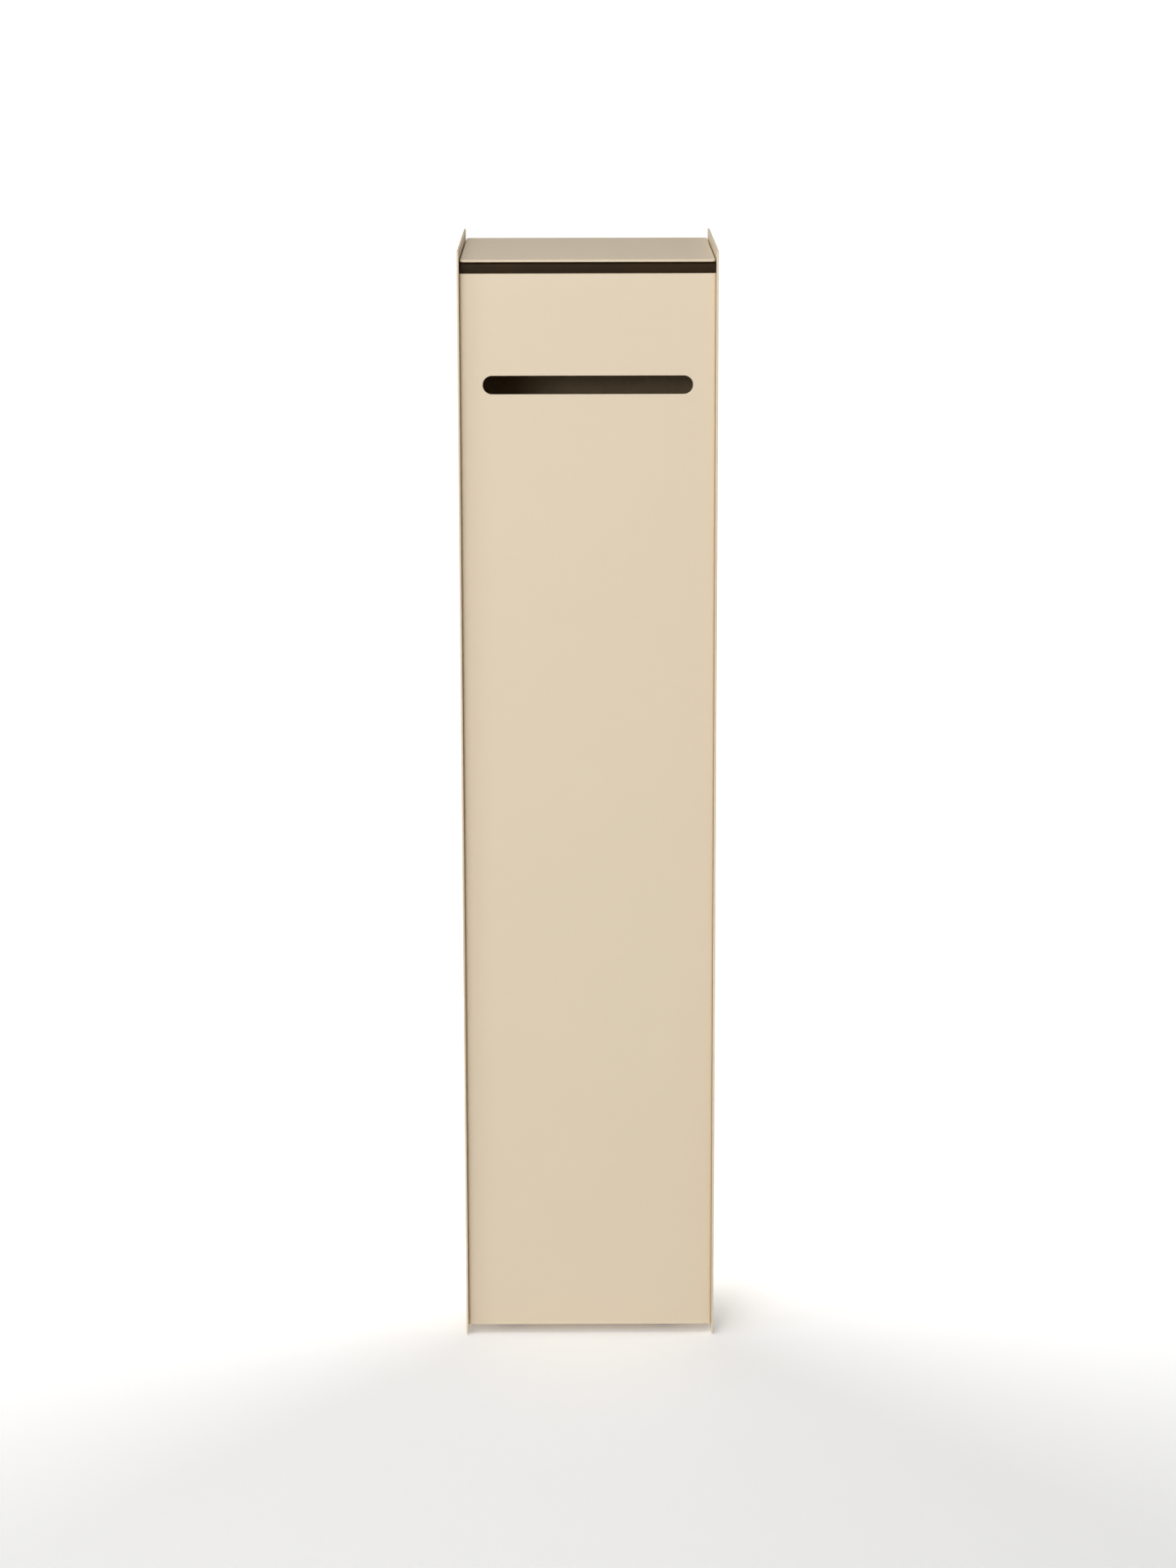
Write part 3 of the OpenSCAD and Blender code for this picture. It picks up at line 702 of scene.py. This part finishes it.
class BIN_OT_edge_trim(bpy.types.Operator):
    """Run the rubber edge trim across the front and along the sides of the container's rim"""

    bl_idname = "ashbin.edge_trim"
    bl_label = "Edge Trim"

    groove_depth: bpy.props.FloatProperty(
        name="Groove depth",
        description="How far the trim reaches over the rim",
        default=0.0055,
        unit="LENGTH",
    )

    # The foot's radius as a share of the wall, and the steps of the foot and the head, and points along a run
    foot_share, foot_steps, head_steps, run_points = 0.8, 5, 22, 24
    smooth_below = 50.0

    def section(self, sizes, height):
        """The trim in section, its top at 0: a half round head over two legs, with the rim's groove
        between them and a quarter round at the foot of each leg."""
        half = sizes.can_sheet / 2 + sizes.trim_wall
        groove = sizes.can_sheet / 2
        roof = -height + self.groove_depth
        foot = sizes.trim_wall * self.foot_share
        right_foot = arc(half - foot, -height + foot, foot, 270, 360, self.foot_steps)
        head = arc(0, -half, half, 0, 180, self.head_steps)
        left_foot = arc(foot - half, -height + foot, foot, 180, 270, self.foot_steps)
        inside = [(-groove, -height), (-groove, roof), (groove, roof), (groove, -height)]
        return np.concatenate([right_foot, head, left_foot, inside])

    def run(self, section, top, start, end):
        """The section carried along a straight run from start to end, both ends closed."""
        path = np.linspace(start, end, self.run_points)
        ahead = (path[-1] - path[0]) / np.linalg.norm(path[-1] - path[0])
        aside = np.array([ahead[1], -ahead[0]])
        points = np.empty((len(path), len(section), 3))
        points[..., :2] = path[:, None] + aside * section[None, :, :1]
        points[..., 2] = top + section[None, :, 1]
        rows, cols = points.shape[:2]
        faces = [face[::-1] for face in grid_quads(rows, cols, closed=True).tolist()]
        faces.append(list(range(cols)))
        faces.append([(rows - 1) * cols + k for k in range(cols)][::-1])
        return points, faces

    def execute(self, context):
        sizes = context.scene.bin_sizes
        low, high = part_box("rim_trim")
        rim_low, rim_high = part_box("ash_container")
        section = self.section(sizes, high.z - low.z)
        half = sizes.can_sheet / 2 + sizes.trim_wall
        side_x = rim_high.x - sizes.can_sheet / 2
        front_y = low.y + half
        parts = [self.run(section, high.z, (low.x, front_y), (high.x, front_y))]
        for x in (-side_x, side_x):
            parts.append(self.run(section, high.z, (x, front_y), (x, high.y)))
        rubber = finishes()["black_rubber"]
        make_piece(
            "rim_trim_rubber", parts, rubber, "container", ["rim_trim"], self.smooth_below
        )
        return {"FINISHED"}


class BIN_OT_container(bpy.types.Operator):
    """Fold and weld the ash container with its inlet behind the slot"""

    bl_idname = "ashbin.container"
    bl_label = "Ash Container"

    floor_bend: bpy.props.FloatProperty(
        name="Floor bend",
        description="Outside radius of the container's lower edge",
        default=0.002,
        unit="LENGTH",
    )
    inlet_block_rise: bpy.props.FloatProperty(
        name="Inlet block",
        description="Height of the block of cells round the inlet",
        default=0.042,
        unit="LENGTH",
    )
    block_margin: bpy.props.FloatProperty(
        name="Block margin",
        description="Space between the inlet's ends and the ends of its block",
        default=0.003,
        unit="LENGTH",
    )

    # Steps of the wall under, across, up and over the inlet's block, and of a corner and the floor's bend
    under, across, up, over, corner_steps, bend_points = 6, 20, 20, 4, 8, 6
    edge_share = 0.5

    def execute(self, context):
        sizes = context.scene.bin_sizes
        low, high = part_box("ash_container")
        middle, half = (low + high) / 2, (high - low) / 2
        inlet_z = opening_centre("container_inlet").z
        corner, bend = sizes.can_corner, self.floor_bend
        block = sizes.inlet_width / 2 + self.block_margin
        across, up = self.across, self.up
        front = np.column_stack([spread((-block, across), block), np.full(across + 1, -half.y)])
        inner_x, inner_y = half.x - corner, half.y - corner
        turns = [
            arc(side_x * inner_x, side_y * inner_y, corner, start, start + 90, self.corner_steps)
            for side_x, side_y, start in ((1, -1, 270), (1, 1, 0), (-1, 1, 90), (-1, -1, 180))
        ]
        loop = np.concatenate([front, *turns])
        centre = np.sign(loop) * np.maximum(np.abs(loop) - (bend, bend), 0)
        t = np.linspace(0, np.pi / 2, self.bend_points)
        rings = [centre + (loop - centre) * s for s in np.sin(t)]
        heights = [low.z + bend * (1 - c) for c in np.cos(t)]
        rise = self.inlet_block_rise / 2
        wall = spread(
            (low.z + bend, self.under), (inlet_z - rise, up), (inlet_z + rise, self.over), high.z
        )
        rings += [loop] * (len(wall) - 1)
        heights += list(wall[1:])
        points = np.empty((len(rings), len(loop), 3))
        points[..., :2] = np.stack(rings) + (middle.x, middle.y)
        points[..., 2] = np.array(heights)[:, None]
        row0 = self.bend_points - 1 + self.under
        window = window_loop(sizes.inlet_width, sizes.inlet_height, sizes.inlet_corner, across, up)
        outline = np.column_stack([window[:, 0], np.full(len(window), low.y), inlet_z + window[:, 1]])
        parts = cut_window(points, True, row0, row0 + up, 0, across, outline)
        parts[0][1].append(list(range(len(loop)))[::-1])
        inner = finishes()["beige_inner_coat"]
        piece = make_piece(
            "ash_container_box", parts, inner, "container", ["ash_container"]
        )
        thicken(piece, sizes.can_sheet, sizes.coated_edge * self.edge_share)
        return {"FINISHED"}


class BIN_OT_grip(bpy.types.Operator):
    """Turn the handle's ribbed grip sleeve"""

    bl_idname = "ashbin.grip"
    bl_label = "Handle Grip"

    ribs: bpy.props.IntProperty(name="Ribs", description="Number of finger ribs", default=14, min=2)
    rib_depth: bpy.props.FloatProperty(
        name="Rib depth", description="Depth of the grooves between ribs", default=0.0007, unit="LENGTH"
    )
    end_length: bpy.props.FloatProperty(
        name="End length", description="Length of each rounded end", default=0.004, unit="LENGTH"
    )
    end_drop: bpy.props.FloatProperty(
        name="End drop", description="How far each end rounds off", default=0.0022, unit="LENGTH"
    )
    bore: bpy.props.FloatProperty(
        name="Bore", description="Radius of the wire in the sleeve", default=0.0025, unit="LENGTH"
    )

    # The plain share of the length at each end, and how steeply the ribs reach full depth after it
    plain_share, rib_onset = 0.08, 40
    length_points, round_points, smooth_below = 260, 40, 60.0

    def execute(self, context):
        """The radius is the sleeve's, less a cosine for each rib and less a quarter round at each end."""
        low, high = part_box("bail_grip")
        middle = (low + high) / 2
        radius = (high.z - low.z) / 2
        length = high.x - low.x
        x = np.linspace(0, 1, self.length_points)
        end = np.clip(np.minimum(x, 1 - x) * length / self.end_length, 0, 1)
        ends = np.sqrt(np.clip(1 - (1 - end) ** 2, 0, 1))
        ribbed = np.clip((np.minimum(x, 1 - x) - self.plain_share) * self.rib_onset, 0, 1)
        r = radius - self.rib_depth * ribbed * (0.5 - 0.5 * np.cos(2 * np.pi * self.ribs * x))
        r = r - self.end_drop * (1 - ends)
        x = np.concatenate([[0], x, [1]])
        r = np.concatenate([[self.bore], r, [self.bore]])
        angle = np.linspace(0, 2 * np.pi, self.round_points, endpoint=False)
        points = np.empty((len(x), len(angle), 3))
        points[..., 0] = (low.x + x * length)[:, None]
        points[..., 1] = middle.y + r[:, None] * np.cos(angle)
        points[..., 2] = middle.z + r[:, None] * np.sin(angle)
        rows, cols = points.shape[:2]
        faces = grid_quads(rows, cols, closed=True).tolist()
        faces.append(list(range(cols))[::-1])
        faces.append([(rows - 1) * cols + k for k in range(cols)])
        nylon, smooth = finishes()["black_nylon"], self.smooth_below
        make_piece(
            "bail_grip_sleeve", [(points, faces)], nylon, "handle", ["bail_grip"], smooth
        )
        return {"FINISHED"}


class BIN_OT_fittings(bpy.types.Operator):
    """Give the frame's own fittings their finishes"""

    bl_idname = "ashbin.fittings"
    bl_label = "Fittings' Finishes"

    def execute(self, context):
        made = finishes()
        for row in frame["record"]["subparts"]:
            fitting = frame["nodes"][row["node"]]
            material = made[row["material_slot"]]
            if fitting.material_slots:
                for holder in fitting.material_slots:
                    holder.material = material
            else:
                fitting.data.materials.append(material)
        return {"FINISHED"}


# Stage


class BIN_OT_stage(bpy.types.Operator):
    """Lay the pale floor, hang the soft lights and set the camera"""

    bl_idname = "ashbin.stage"
    bl_label = "Stage"

    # The sweep's hub, the bend's centre and radius, the wall's top, and the steps over the bend and round
    hub, bend_centre, bend_radius, wall_top, bend_steps, round_steps = 0.05, 6.0, 3.0, 4.0, 24, 96
    # Each light: place, target, width and height
    lights = {
        "key": ((-1.5, -3.0, 2.6), (0, 0, 0.8), 1.7, 1.6),
        "side": ((-2.6, -1.2, 1.2), (0, 0, 0.5), 0.7, 2.2),
        "top": ((-0.2, -0.5, 3.0), (0, 0, 0.8), 1.5, 1.5),
        "front": ((-1.05, -4.6, 1.75), (0, 0, 0.75), 1.1, 1.1),
    }

    def floor(self, stage):
        """A pale round sweep: a level floor, a quarter round and a low wall, one profile turned about Z."""
        bend = arc(self.bend_centre, self.bend_radius, self.bend_radius, 270, 360, self.bend_steps)
        wall = [(self.bend_centre + self.bend_radius, self.wall_top)]
        profile = np.concatenate([[(self.hub, 0.0)], bend, wall])
        angle = np.linspace(0, 2 * np.pi, self.round_steps, endpoint=False)
        points = np.empty((len(profile), len(angle), 3))
        points[..., 0] = profile[:, :1] * np.cos(angle)
        points[..., 1] = profile[:, :1] * np.sin(angle)
        points[..., 2] = profile[:, 1:]
        faces = grid_quads(*points.shape[:2], closed=True).tolist()
        faces.append(list(range(len(angle))))
        mesh = bpy.data.meshes.new("floor")
        mesh.from_pydata(points.reshape(-1, 3).tolist(), [], faces)
        mesh.polygons.foreach_set("use_smooth", [True] * len(mesh.polygons))
        desk = NodeDesk("pale_floor")
        tone = desk.blend(desk.noise(1.5), shade(stage.floor_tone, 0.995), stage.floor_tone)
        desk.link(tone, desk.shader.inputs["Base Color"])
        desk.shader.inputs["Roughness"].default_value = 0.9
        desk.shader.inputs["Specular IOR Level"].default_value = 0.1
        desk.shader.inputs["Emission Color"].default_value = (1, 1, 1, 1)
        heading = desk.tree.nodes.new("ShaderNodeVectorMath")
        heading.operation = "NORMALIZE"
        desk.link(desk.place, heading.inputs[0])
        bearing = desk.tree.nodes.new("ShaderNodeSeparateXYZ")
        desk.link(heading.outputs[0], bearing.inputs[0])
        near_to_far = desk.remap(bearing.outputs["Y"], -0.8, 0.4, stage.near_glow, stage.far_glow)
        rise = desk.tree.nodes.new("ShaderNodeSeparateXYZ")
        desk.link(desk.place, rise.inputs[0])
        fade = desk.remap(rise.outputs["Z"], 1.0, 3.0, 1.0, 0.3)
        glow = desk.tree.nodes.new("ShaderNodeMath")
        glow.operation = "MULTIPLY"
        desk.link(near_to_far, glow.inputs[0])
        desk.link(fade, glow.inputs[1])
        desk.link(glow.outputs[0], desk.shader.inputs["Emission Strength"])
        mesh.materials.append(desk.material)
        floor = bpy.data.objects.new("floor", mesh)
        bpy.context.scene.collection.objects.link(floor)

    def light(self, name, place, target, width, height, power):
        """A rectangular area light aimed at a point."""
        data = bpy.data.lights.new(name, "AREA")
        data.shape = "RECTANGLE"
        data.size, data.size_y, data.energy = width, height, power
        lamp = bpy.data.objects.new(name, data)
        lamp.location = place
        lamp.rotation_euler = (Vector(target) - Vector(place)).to_track_quat("-Z", "Y").to_euler()
        bpy.context.scene.collection.objects.link(lamp)

    def camera(self, stage):
        """Level axes turned to the right and tilted down, then rolled about the line of sight."""
        ahead = Vector(
            (
                math.sin(stage.turn) * math.cos(stage.tilt),
                math.cos(stage.turn) * math.cos(stage.tilt),
                -math.sin(stage.tilt),
            )
        )
        level = Vector((math.cos(stage.turn), -math.sin(stage.turn), 0.0))
        up = level.cross(ahead)
        right = math.cos(stage.roll) * level + math.sin(stage.roll) * up
        upright = -math.sin(stage.roll) * level + math.cos(stage.roll) * up
        data = bpy.data.cameras.new("camera")
        data.lens, data.sensor_width = stage.lens, 36.0
        data.clip_end = 100.0
        eye = bpy.data.objects.new("camera", data)
        axes = Matrix((right, upright, -ahead)).transposed()
        eye.matrix_world = Matrix.Translation(stage.eye) @ axes.to_4x4()
        bpy.context.scene.collection.objects.link(eye)
        bpy.context.scene.camera = eye

    def execute(self, context):
        stage = context.scene.bin_stage
        self.floor(stage)
        world = bpy.data.worlds.new("even light")
        world.use_nodes = True
        sky = world.node_tree.nodes["Background"]
        sky.inputs["Color"].default_value = (1.0, 1.0, 1.0, 1.0)
        sky.inputs["Strength"].default_value = stage.sky
        context.scene.world = world
        for name, (place, target, width, height) in self.lights.items():
            self.light(name, place, target, width, height, getattr(stage, name + "_power"))
        self.camera(stage)
        context.scene.view_settings.view_transform = "Standard"
        return {"FINISHED"}


class BIN_PT_workshop(bpy.types.Panel):
    """Lists the bin's operators and settings"""

    bl_idname = "BIN_PT_workshop"
    bl_label = "Ashtray Bin"
    bl_space_type = "VIEW_3D"
    bl_region_type = "UI"
    bl_category = "Ashtray Bin"

    def draw(self, context):
        column = self.layout.column()
        for operator in OPERATORS:
            column.operator(operator.bl_idname)
        for group in (context.scene.bin_sizes, context.scene.bin_finishes, context.scene.bin_stage):
            for name in group.__annotations__:
                column.prop(group, name)


OPERATORS = (
    BIN_OT_stage,
    BIN_OT_fittings,
    BIN_OT_side_panels,
    BIN_OT_folded_panels,
    BIN_OT_lid_plate,
    BIN_OT_edge_trim,
    BIN_OT_container,
    BIN_OT_grip,
)
CLASSES = (BinSizes, BinFinishes, BinStage, *OPERATORS, BIN_PT_workshop)


def register():
    for cls in CLASSES:
        bpy.utils.register_class(cls)
    bpy.types.Scene.bin_sizes = bpy.props.PointerProperty(type=BinSizes)
    bpy.types.Scene.bin_finishes = bpy.props.PointerProperty(type=BinFinishes)
    bpy.types.Scene.bin_stage = bpy.props.PointerProperty(type=BinStage)


def unregister():
    del bpy.types.Scene.bin_stage
    del bpy.types.Scene.bin_finishes
    del bpy.types.Scene.bin_sizes
    for cls in reversed(CLASSES):
        bpy.utils.unregister_class(cls)


def main():
    register()
    for operator in OPERATORS:
        group, name = operator.bl_idname.split(".")
        getattr(getattr(bpy.ops, group), name)()


if __name__ == "__main__":
    main()
